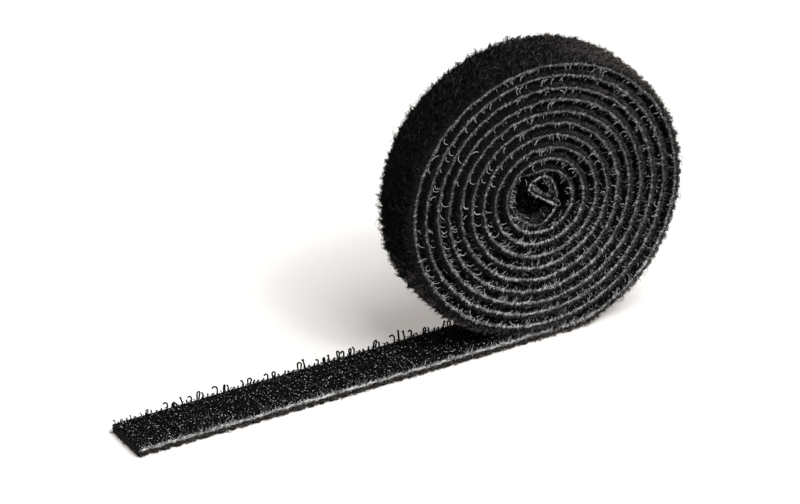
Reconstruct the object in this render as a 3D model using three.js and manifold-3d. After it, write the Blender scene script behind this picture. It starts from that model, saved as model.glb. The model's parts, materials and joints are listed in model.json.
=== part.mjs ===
// A hook and loop tape roll: one strip of back-to-back tape, 10 mm wide and about a metre long.
//
// The strip is three webs laid face to face. The fleece carries the loops and lies outside, a thin
// bond film joins the two tapes, and a woven ground carries the hooks and lies inside. The strip is
// wound on nothing but its own folded inner end, and its free end lies flat on the table.
//
// Millimetres, +Z up. The roll's axis runs along Y, and the free end runs along -X.
// The origin is on the table, straight below the roll's axis.

import * as THREE from 'three';
import { mergeVertices } from 'three/addons/utils/BufferGeometryUtils.js';
import loadManifold from 'manifold-3d';

const wasm = await loadManifold();
wasm.setup();

// The strip

const tapeWidth = 10;
const fleeceThickness = 1.02;
const filmThickness = 0.3;
const groundThickness = 0.23;

// The winding. Its turns are as many as fit, and they share out what room is left.

const outerFilmRadius = 24.8;
const leastWindingGap = 0.5;
const stepsPerTurn = 24;

// The inner end, folded into an S. Its route is a table of shares of the radius at which the
// winding ends, seen from the front with the winding's end on the right: over the top, down the
// left side, under and round the hollow eye, back up across it and over into a small curl.
// That radius is itself a share of the room that a turn needs.

const foldRadiusShare = 2.62;
const foldSteps = 34;
const foldPressShare = 0.6;
const foldRouteShares = [
  [0.91, 0.4],
  [0.66, 0.73],
  [0.28, 0.92],
  [-0.12, 0.95],
  [-0.49, 0.79],
  [-0.74, 0.46],
  [-0.82, 0.05],
  [-0.76, -0.34],
  [-0.54, -0.62],
  [-0.21, -0.75],
  [0.13, -0.71],
  [0.37, -0.53],
  [0.39, -0.28],
  [0.16, -0.07],
  [-0.14, 0.13],
  [-0.34, 0.34],
  [-0.34, 0.55],
  [-0.16, 0.68],
  [0.1, 0.69],
  [0.31, 0.57],
  [0.42, 0.39],
];

// The free end: a flat lead-out that belongs to the roll, then the lengths that bend at hinges

const leadLength = 14.76;
const tailLength = 19;
const tailCount = 3;
const hingeGap = 0.4;

// The hooks that stand on the free end

const hookHeight = 1.2;
const hookThickness = 0.42;
const hookLean = 0.4;
const hookPitch = 1.1;
const hookRows = 6;
const hookSides = 3;
const hookRoot = 0.12;
const hookEndMargin = 0.9;
const hookClearance = 0.3;

// What follows from those sizes

const stripThickness = fleeceThickness + filmThickness + groundThickness;
const turnNeed = stripThickness + leastWindingGap;
const foldRadius = turnNeed * foldRadiusShare;
const woundRoom = outerFilmRadius - foldRadius;
const woundTurns = Math.floor(woundRoom / turnNeed - 1 / 4) + 1 / 4;
const turnPitch = woundRoom / woundTurns;
const stepAngle = (2 * Math.PI) / stepsPerTurn;
const filmHeight = fleeceThickness + filmThickness / 2;
const rollHeight = filmHeight + outerFilmRadius * Math.cos(stepAngle / 2);
const rollFoot = outerFilmRadius * Math.sin(stepAngle / 2);
const leadEnd = -rollFoot - leadLength;

// Materials

function makeMaterial(color, roughness) {
  return new THREE.MeshStandardMaterial({ color, roughness, metalness: 0 });
}

const layerColours = { fleece: '#17171a', film: '#7d7d80', hooks: '#101013' };
const layerRoughnessShares = { fleece: 0.95, film: 0.7, hooks: 0.5 };

// The winding's route: the middle of the bond film, from the table inwards, anticlockwise as seen
// from the front. Its first step lies flat on the table, so the roll has a foot to stand on.

function woundPoint(step) {
  const turns = Math.max(0, step - 1) / stepsPerTurn;
  const radius = outerFilmRadius - turnPitch * turns;
  const angle = -Math.PI / 2 + stepAngle * (step - 1 / 2);
  return new THREE.Vector2(radius * Math.cos(angle), rollHeight + radius * Math.sin(angle));
}

// The folded inner end: a smooth curve from the winding's last point through the table's points,
// turned with the winding's end

function foldPoints(start) {
  const turned = 2 * Math.PI * (woundTurns - 1 / 4);
  const through = foldRouteShares.map(([right, up]) =>
    new THREE.Vector2(right, up)
      .multiplyScalar(foldRadius)
      .rotateAround(new THREE.Vector2(), turned)
      .add(new THREE.Vector2(0, rollHeight)),
  );
  const curve = new THREE.CatmullRomCurve3(
    [start, ...through].map((point) => new THREE.Vector3(point.x, 0, point.y)),
  );
  const points = curve.getSpacedPoints(foldSteps).map((point) => new THREE.Vector2(point.x, point.z));
  return points.slice(1);
}

function windingRoute() {
  const woundSteps = Math.round(woundTurns * stepsPerTurn) + 1;
  const points = [];
  for (let step = 0; step <= woundSteps; step++) {
    points.push(woundPoint(step));
  }
  return { points: [...points, ...foldPoints(points[woundSteps])], woundSteps };
}

// Each point's outward direction, stretched at a bend so that a web keeps its thickness there

function outwardDirections(points) {
  const directions = [];
  for (let i = 0; i < points.length; i++) {
    const before = points[Math.max(0, i - 1)];
    const after = points[Math.min(points.length - 1, i + 1)];
    const arriving = points[i].clone().sub(before);
    const leaving = after.clone().sub(points[i]);
    if (i === 0) arriving.copy(leaving);
    if (i === points.length - 1) leaving.copy(arriving);
    const first = new THREE.Vector2(arriving.y, -arriving.x).normalize();
    const second = new THREE.Vector2(leaving.y, -leaving.x).normalize();
    const middle = first.clone().add(second).normalize();
    directions.push(middle.divideScalar(middle.dot(first)));
  }
  return directions;
}

const { points: routePoints, woundSteps } = windingRoute();
const routeOutward = outwardDirections(routePoints);

// The fleece is pressed thinner where the inner end is folded

function fleeceThicknessAt(index) {
  const pressStart = woundSteps - stepsPerTurn / 2;
  const pressed = THREE.MathUtils.smoothstep(index, pressStart, woundSteps + stepsPerTurn / 6);
  return fleeceThickness * THREE.MathUtils.lerp(1, foldPressShare, pressed);
}

// A web's two faces, measured outwards from the middle of the film

const layerFaces = {
  fleece: (index) => [filmThickness / 2, filmThickness / 2 + fleeceThicknessAt(index)],
  film: () => [-filmThickness / 2, filmThickness / 2],
  hooks: () => [-filmThickness / 2 - groundThickness, -filmThickness / 2],
};

// One web of the winding: an unbroken strip of rectangular section that follows the route

function woundGeometry(faces) {
  const positions = [];
  const triangles = [];
  routePoints.forEach((point, index) => {
    const [inner, outer] = faces(index);
    for (const [offset, side] of [[outer, -1], [outer, 1], [inner, 1], [inner, -1]]) {
      const place = point.clone().addScaledVector(routeOutward[index], offset);
      positions.push(place.x, (side * tapeWidth) / 2, place.y);
    }
  });
  const cornerCount = 4;
  for (let i = 0; i < routePoints.length - 1; i++) {
    for (let c = 0; c < cornerCount; c++) {
      const a = i * cornerCount + c;
      const b = i * cornerCount + ((c + 1) % cornerCount);
      triangles.push(a, b, a + cornerCount, b, b + cornerCount, a + cornerCount);
    }
  }
  const last = (routePoints.length - 1) * cornerCount;
  triangles.push(0, 2, 1, 0, 3, 2);
  triangles.push(last, last + 1, last + 2, last, last + 2, last + 3);
  const geometry = new THREE.BufferGeometry();
  geometry.setAttribute('position', new THREE.Float32BufferAttribute(positions, 3));
  geometry.setIndex(triangles);
  return geometry;
}

// The least gap between the strip's turns, measured from points on its two outer faces

function leastGap() {
  const strip = routePoints.map((point, index) => ({
    outer: point.clone().addScaledVector(routeOutward[index], layerFaces.fleece(index)[1]),
    inner: point.clone().addScaledVector(routeOutward[index], layerFaces.hooks(index)[0]),
  }));
  const along = [0];
  for (let i = 1; i < routePoints.length; i++) {
    along.push(along[i - 1] + routePoints[i].distanceTo(routePoints[i - 1]));
  }
  let least = Infinity;
  for (let i = 0; i < strip.length; i++) {
    for (let j = 1; j < strip.length; j++) {
      const apart = Math.min(Math.abs(along[i] - along[j]), Math.abs(along[i] - along[j - 1]));
      if (apart < 2 * turnPitch) continue;
      for (const face of ['outer', 'inner']) {
        for (const point of [strip[i].outer, strip[i].inner]) {
          least = Math.min(least, distanceToLine(point, strip[j - 1][face], strip[j][face]));
        }
      }
    }
  }
  return { least, length: along[along.length - 1] };
}

function distanceToLine(point, from, to) {
  const line = to.clone().sub(from);
  const share = THREE.MathUtils.clamp(point.clone().sub(from).dot(line) / line.lengthSq(), 0, 1);
  return from.clone().addScaledVector(line, share).distanceTo(point);
}

const winding = leastGap();
console.log(`least gap between the turns: ${winding.least.toFixed(3)} mm`);

// The flat lengths: each layer is a plain strip between two places along X

const layerHeights = {
  fleece: [0, fleeceThickness],
  film: [fleeceThickness, fleeceThickness + filmThickness],
  hooks: [fleeceThickness + filmThickness, fleeceThickness + filmThickness + groundThickness],
};
const hookFootHeight = layerHeights.hooks[1];

function flatGeometry(low, high, [bottom, top]) {
  const geometry = new THREE.BoxGeometry(high - low, tapeWidth, top - bottom);
  geometry.translate((low + high) / 2, 0, (bottom + top) / 2);
  return geometry;
}

function toSolid(geometry) {
  const bare = geometry.clone();
  bare.deleteAttribute('normal');
  bare.deleteAttribute('uv');
  const merged = mergeVertices(bare);
  const mesh = new wasm.Mesh({
    numProp: 3,
    vertProperties: new Float32Array(merged.attributes.position.array),
    triVerts: new Uint32Array(merged.index.array),
  });
  return new wasm.Manifold(mesh);
}

function toGeometry(solid) {
  const mesh = solid.getMesh();
  const geometry = new THREE.BufferGeometry();
  geometry.setAttribute('position', new THREE.Float32BufferAttribute(mesh.vertProperties, 3));
  geometry.setIndex(Array.from(mesh.triVerts));
  return geometry;
}

// One hook, standing in for a bent monofilament: a pointed strand that leans along the tape

function hookGeometry(x, y, lean) {
  const height = hookHeight + hookRoot;
  const strand = new THREE.ConeGeometry(hookThickness / 2, height, hookSides);
  strand.rotateX(Math.PI / 2);
  strand.translate(0, 0, height / 2 - hookRoot);
  const leaning = new THREE.Matrix4().makeShear(0, 0, 0, 0, lean / hookHeight, 0);
  strand.applyMatrix4(leaning);
  strand.translate(x, y, hookFootHeight);
  return strand;
}

// The hook tape of a flat length: its ground with the hooks standing in rows, leaning by turns to
// either side. They stand between the length's low end and hookHigh.

function hookTapeGeometry(low, high, hookHigh) {
  let tape = toSolid(flatGeometry(low, high, layerHeights.hooks));
  const span = hookHigh - low - 2 * hookEndMargin;
  const columns = Math.floor(span / hookPitch) + 1;
  const rowPitch = tapeWidth / hookRows;
  const first = low + hookEndMargin + (span - (columns - 1) * hookPitch) / 2;
  for (let column = 0; column < columns; column++) {
    for (let row = 0; row < hookRows; row++) {
      const y = (row + 1 / 2) * rowPitch - tapeWidth / 2;
      const lean = (column + row) % 2 === 0 ? hookLean : -hookLean;
      tape = tape.add(toSolid(hookGeometry(first + column * hookPitch, y, lean)));
    }
  }
  return toGeometry(tape);
}

// Where the roll's underside is high enough above the lead-out for a hook to stand clear of it

function firstHookFromRoll() {
  const need = hookFootHeight + hookHeight + hookClearance;
  const bellyRadius = outerFilmRadius - turnPitch * (1 - 1 / 4) + filmThickness / 2 + fleeceThickness;
  const drop = rollHeight - need;
  return Math.sqrt(Math.max(0, bellyRadius * bellyRadius - drop * drop));
}

// The object

const tapeRoll = new THREE.Group();
tapeRoll.name = 'hook_and_loop_tape_roll';

function addPiece(name, layer, geometry) {
  const material = makeMaterial(layerColours[layer], layerRoughnessShares[layer]);
  const mesh = new THREE.Mesh(geometry, material);
  mesh.name = name;
  tapeRoll.add(mesh);
}

addPiece('wound_loop_fleece', 'fleece', woundGeometry(layerFaces.fleece));
addPiece('wound_bond_film', 'film', woundGeometry(layerFaces.film));
addPiece('wound_hook_tape', 'hooks', woundGeometry(layerFaces.hooks));

function addFlatLength(prefix, low, high, hookHigh) {
  addPiece(`${prefix}_loop_fleece`, 'fleece', flatGeometry(low, high, layerHeights.fleece));
  addPiece(`${prefix}_bond_film`, 'film', flatGeometry(low, high, layerHeights.film));
  addPiece(`${prefix}_hook_tape`, 'hooks', hookTapeGeometry(low, high, hookHigh));
}

addFlatLength('lead', leadEnd + hingeGap / 2, -rollFoot, -firstHookFromRoll());
for (let length = 1; length <= tailCount; length++) {
  const far = leadEnd - tailLength * length;
  const near = far + tailLength;
  const farEnd = length === tailCount ? far : far + hingeGap / 2;
  addFlatLength(`tail_${length}`, farEnd, near - hingeGap / 2, near - hingeGap / 2);
}

const freeLength = leadLength + tailLength * tailCount;
console.log(`tape length: ${(winding.length + freeLength).toFixed(0)} mm`);

export default tapeRoll;
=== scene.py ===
# %% [markdown]
# # A roll of hook and loop tape, built strand by strand
# The real object is one strip, 10 mm wide and about a metre long. Fleece full of tiny loops lies on
# its outside, plastic hooks stand on its inside, and a thin grey bond film holds the two together.
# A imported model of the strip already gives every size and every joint. This lesson dresses it: it
# keeps the places that the model gives, and adds the pile, the weave and the hooks.
# We work in millimetres, because the strands are that small, and change to metres at the very end.

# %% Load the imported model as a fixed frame
import json
import math

import bpy
import numpy as np
from mathutils import Matrix, Vector


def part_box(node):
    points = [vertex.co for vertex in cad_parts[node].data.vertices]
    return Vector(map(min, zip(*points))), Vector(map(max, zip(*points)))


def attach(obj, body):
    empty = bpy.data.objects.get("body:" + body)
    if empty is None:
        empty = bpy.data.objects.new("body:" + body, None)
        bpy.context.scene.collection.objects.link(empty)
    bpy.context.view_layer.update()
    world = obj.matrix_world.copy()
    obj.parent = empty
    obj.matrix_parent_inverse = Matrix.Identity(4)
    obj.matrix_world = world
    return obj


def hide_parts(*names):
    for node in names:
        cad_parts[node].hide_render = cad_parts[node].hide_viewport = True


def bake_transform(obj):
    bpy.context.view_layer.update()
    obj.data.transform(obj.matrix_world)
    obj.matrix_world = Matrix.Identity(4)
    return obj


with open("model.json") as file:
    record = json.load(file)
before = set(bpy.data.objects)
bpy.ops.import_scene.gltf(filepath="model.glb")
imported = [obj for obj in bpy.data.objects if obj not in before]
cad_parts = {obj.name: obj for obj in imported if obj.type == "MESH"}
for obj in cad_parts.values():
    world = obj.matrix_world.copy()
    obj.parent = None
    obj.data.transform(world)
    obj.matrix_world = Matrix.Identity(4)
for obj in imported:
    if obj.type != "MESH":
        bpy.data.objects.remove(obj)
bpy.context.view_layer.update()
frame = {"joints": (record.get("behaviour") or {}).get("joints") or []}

MM = 0.001

# %% [markdown]
# ## Read the sizes from the frame
# A piece that only looks right from one side is no use to the next person. So the thicknesses, the
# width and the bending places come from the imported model, and nothing is measured twice.

# %% Sizes of the three layers
fleece_low, fleece_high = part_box("tail_3_loop_fleece")
film_low, film_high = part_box("tail_3_bond_film")
TAPE_WIDTH = (fleece_high.y - fleece_low.y) / MM
HALF_WIDTH = TAPE_WIDTH / 2
FLEECE_THICKNESS = fleece_high.z / MM
FILM_THICKNESS = (film_high.z - film_low.z) / MM
GROUND_THICKNESS = 0.23
FREE_END = fleece_low.x / MM
FILM_HEIGHT = FLEECE_THICKNESS + FILM_THICKNESS / 2
print(f"tape {TAPE_WIDTH:.1f} mm wide, fleece {FLEECE_THICKNESS:.2f}, film {FILM_THICKNESS:.2f}")

# %% Sizes of the winding
FILM_RADIUS = 24.8
TURN_PITCH = 2.1
WOUND_TURNS = 9.25
FOOT_ANGLE = 7.5
FOLD_RADIUS = FILM_RADIUS - TURN_PITCH * WOUND_TURNS
ROLL_HEIGHT = FILM_HEIGHT + FILM_RADIUS * math.cos(math.radians(FOOT_ANGLE))
print(f"roll axis {ROLL_HEIGHT:.2f} mm above the table, fold radius {FOLD_RADIUS:.2f} mm")

# %% [markdown]
# ## Camera first
# The photograph was taken from the left of the roll and above it, through a long lens, so the far
# end of the tape looks almost as large as the near one. Blender can frame that with a long focal
# length and a camera far away. The camera is also tipped a little to one side.

# %% Place the camera
CAMERA_AZIMUTH = math.radians(-24.75)
CAMERA_ELEVATION = math.radians(27.99)
CAMERA_TILT = math.radians(-3.85)
CAMERA_DISTANCE = 1486.8
FOCAL_LENGTH = 410.7
SENSOR_WIDTH = 36.0
AIM = np.array([-23.91, 0.0, 20.63])

side, level = math.sin(CAMERA_AZIMUTH), math.cos(CAMERA_AZIMUTH)
flat_share, rise_share = math.cos(CAMERA_ELEVATION), math.sin(CAMERA_ELEVATION)
back = Vector((side * flat_share, -level * flat_share, rise_share))
right_plain = Vector((level, side, 0))
up_plain = back.cross(right_plain)
right = right_plain * math.cos(CAMERA_TILT) + up_plain * math.sin(CAMERA_TILT)
up = up_plain * math.cos(CAMERA_TILT) - right_plain * math.sin(CAMERA_TILT)
turned = Matrix((right, up, back)).transposed().to_4x4()
camera = bpy.data.objects.new("camera", bpy.data.cameras.new("camera"))
bpy.context.scene.collection.objects.link(camera)
camera.matrix_world = Matrix.Translation((Vector(AIM) + back * CAMERA_DISTANCE) * MM) @ turned
camera.data.lens = FOCAL_LENGTH
camera.data.sensor_width = SENSOR_WIDTH
bpy.context.scene.camera = camera
print("camera at, mm:", [round(x / MM) for x in camera.location])

# %% [markdown]
# ## The route of the strip
# Everything on the tape follows one line: the middle of the bond film, seen from the front. It
# starts at the free end, runs flat along the table, climbs into the spiral and ends in a folded S.
# A spiral is a formula, so it needs no hand-placed points. The fold was pressed by hand in
# reality, so it gets a few points, and a smooth curve is drawn through them.


# %% Small helpers for smooth change
def ease(value, low, high):
    share = np.clip((value - low) / (high - low), 0, 1)
    return share * share * (3 - 2 * share)


def hill(value, rise, fall):
    """1 between two slopes and 0 outside them. Each slope is a pair: where it starts and ends."""
    return ease(value, *rise) * (1 - ease(value, *fall))


def rolling(u, v, seed):
    """Smooth random heights from -1 to 1: random numbers on a grid, eased between the grid points."""
    table = np.random.default_rng(seed).uniform(-1, 1, (256, 256))
    u, v = np.broadcast_arrays(np.asarray(u, float), np.asarray(v, float))
    iu, iv = np.floor(u).astype(int), np.floor(v).astype(int)
    fu, fv = ease(u - iu, 0, 1), ease(v - iv, 0, 1)
    iu, iv, ju, jv = iu % 256, iv % 256, (iu + 1) % 256, (iv + 1) % 256
    low = table[iu, iv] * (1 - fu) + table[ju, iv] * fu
    high = table[iu, jv] * (1 - fu) + table[ju, jv] * fu
    return low * (1 - fv) + high * fv


# %% The wound stretch, turn by turn
BULGE, BULGE_ANGLE, BULGE_SPREAD = 0.3, 45.0, 25.0
TURN_WANDER, WANDER_DEGREES = 0.1, 40
LAST_ANGLE = FOOT_ANGLE + 360 * WOUND_TURNS

sweep = np.arange(0, LAST_ANGLE, 0.5)
radius = FILM_RADIUS - TURN_PITCH * np.maximum(0, sweep - FOOT_ANGLE) / 360
radius += BULGE * np.exp(-(((sweep - BULGE_ANGLE) / BULGE_SPREAD) ** 2))
radius += TURN_WANDER * rolling(sweep / WANDER_DEGREES, 0, 3) * ease(sweep, 30, 90)
wound_x = radius * np.sin(np.radians(sweep))
wound_z = ROLL_HEIGHT - radius * np.cos(np.radians(sweep))
lifted = FILM_HEIGHT + (wound_z - FILM_HEIGHT) * ease(sweep, 5, 25)
wound_z = np.where(sweep < 90, np.maximum(FILM_HEIGHT, lifted), wound_z)
print(f"{len(sweep)} points round {sweep[-1] / 360:.2f} turns")

# %% The folded inner end
FOLD_SHARES = [
    (0.91, 0.4), (0.66, 0.73), (0.28, 0.92), (-0.12, 0.95), (-0.49, 0.79), (-0.74, 0.46),
    (-0.82, 0.05), (-0.8, -0.38), (-0.62, -0.7), (-0.3, -0.86), (0.0, -0.8), (0.26, -0.6),
    (0.42, -0.42), (0.39, -0.28), (0.2, -0.13), (-0.12, 0.1), (-0.37, 0.33), (-0.44, 0.47),
    (-0.36, 0.61), (-0.18, 0.7), (0.03, 0.72), (0.24, 0.65), (0.38, 0.48), (0.45, 0.27),
    (0.48, 0.06), (0.47, -0.1),
]


def through(points, steps):
    """A smooth curve through the points (Catmull and Rom's rule), with this many steps for each gap."""
    points = np.vstack([2 * points[0] - points[1], points, 2 * points[-1] - points[-2]])
    t = np.linspace(0, 1, steps, endpoint=False)[:, None]
    parts = []
    for a, b, c, d in zip(points, points[1:], points[2:], points[3:]):
        bend = 2 * b + (c - a) * t + (2 * a - 5 * b + 4 * c - d) * t**2 + (3 * b - a - 3 * c + d) * t**3
        parts.append(bend / 2)
    return np.vstack([*parts, points[-2]])


fold = np.array(FOLD_SHARES) * FOLD_RADIUS + [0, ROLL_HEIGHT]
fold = through(np.vstack([[wound_x[-1], wound_z[-1]], fold]), 20)[1:]


# %% Join the stretches and walk along them in even steps
def walked(points):
    """How far each point of a line lies from its start, measured along the line."""
    return np.concatenate([[0], np.cumsum(np.linalg.norm(np.diff(points, axis=0), axis=1))])


def resampled(points, wanted):
    """The points of the line that lie at the wanted distances from its start."""
    return np.column_stack([np.interp(wanted, walked(points), column) for column in points.T])


ROUTE_STEP = 0.1
SMOOTH_OVER = 7
flat_x = np.arange(FREE_END, 0, ROUTE_STEP)
rough = np.vstack([
    np.column_stack([flat_x, np.full(len(flat_x), FILM_HEIGHT)]),
    np.column_stack([wound_x, wound_z]),
    fold,
])
rough_along = walked(rough)
route_along = np.arange(0, rough_along[-1], ROUTE_STEP)
route = resampled(rough, route_along)
kernel = np.ones(SMOOTH_OVER) / SMOOTH_OVER
padded = np.pad(np.gradient(route, axis=0), ((SMOOTH_OVER // 2, SMOOTH_OVER // 2), (0, 0)), mode="edge")
heading = np.column_stack([np.convolve(column, kernel, "valid") for column in padded.T])
heading /= np.linalg.norm(heading, axis=1, keepdims=True)
outward = np.column_stack([heading[:, 1], -heading[:, 0]])
print(f"{len(route)} places along the strip, {ROUTE_STEP} mm apart")

# %% Mark the foot, the end of the outer turn and the fold
STRIP_LENGTH = route_along[-1]
AT_FOOT = -FREE_END
wound_along = rough_along[len(flat_x):len(flat_x) + len(sweep)]
AT_FOLD = float(wound_along[-1])
route_sweep = np.interp(route_along, wound_along, sweep)


def turned_at(along):
    """How many degrees the winding has turned at places along the strip."""
    return np.interp(along, route_along, route_sweep)


def along_at(turned):
    """The other way round: where along the strip the winding has turned that many degrees."""
    in_the_roll = route_sweep > 0
    return np.interp(turned, route_sweep[in_the_roll], route_along[in_the_roll])


TURN_ENDS = along_at(360)
print(f"strip {STRIP_LENGTH:.0f} mm long, outer turn ends at {TURN_ENDS:.0f}, fold starts at {AT_FOLD:.0f}")

# %% [markdown]
# ## Three numbers place anything on the tape
# Along the strip, across it, and how far off the film: those three numbers say where a hook or a
# strand is, whether the tape lies flat or goes round a turn. The helper bends them into the round.
# The fleece is pressed thinner in the fold, so its heights shrink there.

# %% From strip numbers to places in space
FOLD_PRESS = 0.6
FOLD_SLIP, SLIP_STARTS, SLIP_STOPS = 2.4, (8.5, 12), (18.5, 21.5)
FOLD_TILT, TILT_STARTS, TILT_STOPS = 2.2, (13, 17), (24, 28)
TABLE_CLEARANCE = 0.015


def pressed(along):
    return 1 - (1 - FOLD_PRESS) * ease(along, AT_FOLD - 20, AT_FOLD + 6)


def slipped(along, across):
    """How far back the fold is pushed into the roll, most at its near edge."""
    amount = FOLD_SLIP * hill(along - AT_FOLD, SLIP_STARTS, SLIP_STOPS)
    return amount * (0.67 - 0.33 * across / HALF_WIDTH)


def tilted(along, across):
    """How far the bottom of the fold rises towards the far edge, where the hand pressed it up."""
    return FOLD_TILT * hill(along - AT_FOLD, TILT_STARTS, TILT_STOPS) * ease(across, -3, 5)


def on_route(values, along):
    """The two columns of values, for x and z, read at places along the strip."""
    return [np.interp(along, route_along, column) for column in values.T]


def place(along, across, lift):
    """Points in space, in mm, for places on the strip. A lift above 0 is on the fleece side."""
    along, across, lift = np.broadcast_arrays(along, across, np.asarray(lift, float))
    lift = np.where(lift > 0, lift * pressed(along), lift)
    (x, z), (push_x, push_z) = on_route(route, along), on_route(outward, along)
    x = x + lift * push_x + np.minimum(along, 0)
    z = np.maximum(z + lift * push_z + tilted(along, across), TABLE_CLEARANCE)
    return np.stack([x, across + slipped(along, across), z], -1)


# %% [markdown]
# ## Where the tape bends
# The free end has three hinges in the model. Real tape has none: it curves. So each dressed length
# spans one hinge, and the lengths meet halfway between the hinges.

# %% The four lengths and the parts of the model that they cover
ROLL_CUT = AT_FOOT - 8.0
hinges = [joint["pos_m"][0] / MM for joint in frame["joints"]]
cuts = [ROLL_CUT] + [(a + b) / 2 - FREE_END for a, b in zip(hinges, hinges[1:])] + [0.0]
LENGTHS = [{"name": "roll", "low": ROLL_CUT, "high": STRIP_LENGTH + 1, "nodes": ["wound"]}]
for number, joint in enumerate(frame["joints"], start=1):
    nodes = [f"tail_{number - 1}" if number > 1 else "lead", f"tail_{number}"]
    LENGTHS.append({
        "name": f"bend_{number}", "low": cuts[number], "high": cuts[number - 1], "nodes": nodes,
        "joint": joint,
    })
print("cut at, mm from the free end:", [round(c, 1) for c in cuts])


def follow(piece, length):
    """Ties a piece of the roll to the roll's body. A piece of the free end keeps its place, with its
    transform baked into the mesh.
    """
    if "joint" not in length:
        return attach(piece, "roll")
    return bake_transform(piece)


# %% [markdown]
# ## From arrays to meshes
# Python loops are slow for a million strands, so the points are worked out as arrays and handed to
# the mesh in one go. Two shapes are enough: a web, which is a closed band with a cross-section
# that may change along the strip, and a strand, which is a thin tube with three to five sides.


# %% Build a mesh object
def new_piece(name, points, faces, materials, shades=None):
    """points: n by 3, in mm. faces: arrays of corner numbers, each with faces of one size."""
    mesh = bpy.data.meshes.new(name)
    mesh.vertices.add(len(points))
    mesh.vertices.foreach_set("co", (np.asarray(points) * MM).astype(np.float32).ravel())
    mesh.loops.add(sum(f.size for f in faces))
    mesh.loops.foreach_set("vertex_index", np.concatenate([f.ravel() for f in faces]).astype(np.int32))
    mesh.polygons.add(sum(len(f) for f in faces))
    counts = np.concatenate([np.full(len(f), f.shape[1]) for f in faces])
    mesh.polygons.foreach_set("loop_start", np.concatenate([[0], np.cumsum(counts)[:-1]]).astype(np.int32))
    mesh.polygons.foreach_set("use_smooth", np.ones(len(counts), bool))
    if shades is not None:
        mesh.polygons.foreach_set("material_index", shades.astype(np.int32))
    for material in materials:
        mesh.materials.append(material)
    mesh.update(calc_edges=True)
    mesh.validate()
    piece = bpy.data.objects.new(name, mesh)
    bpy.context.scene.collection.objects.link(piece)
    print(f"{name}: {len(points)} points, {int((counts - 2).sum())} triangles")
    return piece


# %% A web: rings of points, joined into a closed band
def web_piece(name, rings, materials):
    """rings: stations by ring points by 3."""
    stations, around = rings.shape[:2]
    ring = np.arange(around)
    first = (np.arange(stations - 1) * around)[:, None]
    a, b = first + ring, first + np.roll(ring, -1)
    walls = np.stack([a, a + around, b + around, b], -1).reshape(-1, 4)
    caps = np.stack([ring, ring[::-1] + (stations - 1) * around])
    return new_piece(name, rings.reshape(-1, 3), [walls, caps], materials)


def stations_between(low, high, step):
    """Even places along the strip for the rings of a web, as a column."""
    return np.linspace(low, high, max(2, int((high - low) / step)))[:, None]


# %% Strands: many thin tubes in one mesh
def unit(vectors):
    return vectors / np.maximum(np.linalg.norm(vectors, axis=-1, keepdims=True), 1e-9)


def strand_mesh(paths, radii, sides, pointed, square):
    """paths: n by k by 3. radii: n by k. square: n by 3, a direction that each strand keeps square to."""
    count, steps = paths.shape[:2]
    along = unit(np.gradient(paths, axis=1))
    first = unit(np.cross(along, square[:, None, :]))
    second = np.cross(first, along)
    angles = np.arange(sides) * 2 * np.pi / sides
    turn = first[:, :, None] * np.cos(angles)[:, None] + second[:, :, None] * np.sin(angles)[:, None]
    rings = paths[:, :, None] + turn * radii[:, :, None, None]
    shown = steps - 1 if pointed else steps
    own = shown * sides + (1 if pointed else 0)
    points = rings[:, :shown].reshape(count, -1, 3)
    if pointed:
        points = np.concatenate([points, paths[:, -1:]], axis=1)
    start = (np.arange(count) * own)[:, None, None]
    ring = np.arange(sides)
    level = (np.arange(shown - 1) * sides)[:, None]
    a, b = start + level + ring, start + level + np.roll(ring, -1)
    walls = np.stack([a, b, b + sides, a + sides], -1).reshape(-1, 4)
    root = (start[:, 0] + ring[::-1]).reshape(-1, sides)
    last = start[:, 0] + (shown - 1) * sides
    if pointed:
        tip = np.broadcast_to(start[:, 0] + own - 1, (count, sides))
        end = np.stack([last + ring, last + np.roll(ring, -1), tip], -1).reshape(-1, 3)
    else:
        end = (last + ring).reshape(-1, sides)
    faces = [walls, root, end]
    owners = [np.repeat(np.arange(count), len(f) // count) for f in faces]
    wall_levels = np.tile(np.repeat(np.arange(shown - 1), sides), count)
    levels = [wall_levels, np.zeros(count, int), np.full(len(end), steps - 2)]
    return points.reshape(-1, 3), faces, np.concatenate(owners), np.concatenate(levels)


# %% Share strands out among the lengths
def grow(kind, strands, materials, sides=3, pointed=True):
    """One piece for each length of tape. A strand has one shade, or one for each of its steps."""
    roots, paths, radii, shade, square = strands
    for length in LENGTHS:
        here = (roots >= length["low"]) & (roots < length["high"])
        if not here.any():
            continue
        points, faces, owner, level = strand_mesh(paths[here], radii[here], sides, pointed, square[here])
        own_shade = shade[here][owner] if shade.ndim == 1 else shade[here][owner, level]
        piece = new_piece(f"{length['name']}_{kind}", points, faces, materials, own_shade)
        follow(piece, length)


# %% Helpers for a set of strands
def paths_through(*spots):
    """One short path for each strand, through places on the strip: along, across and lift."""
    return np.stack([place(*spot) for spot in spots], axis=1)


def radii_for(random, count, profile, low, high):
    """The radius at each step of a path, with some strands thicker than others."""
    return np.array(profile) * random.uniform(low, high, (count, 1))


def square_for(random, count, direction, loose):
    """The direction that each strand keeps square to, nearly the same one for all."""
    return np.array(direction) + random.normal(0, loose, (count, 3))


# %% [markdown]
# ## Materials
# Black nylon is never one black. The pile is matte and a little brown, and where light falls on it it is
# painted lighter and browner; the woven ground has a fine grain, and the film is grey with pale
# broken threads. Pale hooks and the pale tops of hooks are painted highlights.
# The webs carry their grain in node textures, placed by object coordinates. A single strand is
# far too thin to show a texture, so the strands take plain shades, and the mix of shades is the
# pattern.


# %% Helpers for materials
def plain_shade(name, colour, roughness, shine):
    material = bpy.data.materials.new(name)
    material.use_nodes = True
    shader = material.node_tree.nodes["Principled BSDF"]
    shader.inputs["Base Color"].default_value = (*colour, 1)
    shader.inputs["Roughness"].default_value = roughness
    shader.inputs["Specular IOR Level"].default_value = shine
    return material


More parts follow.
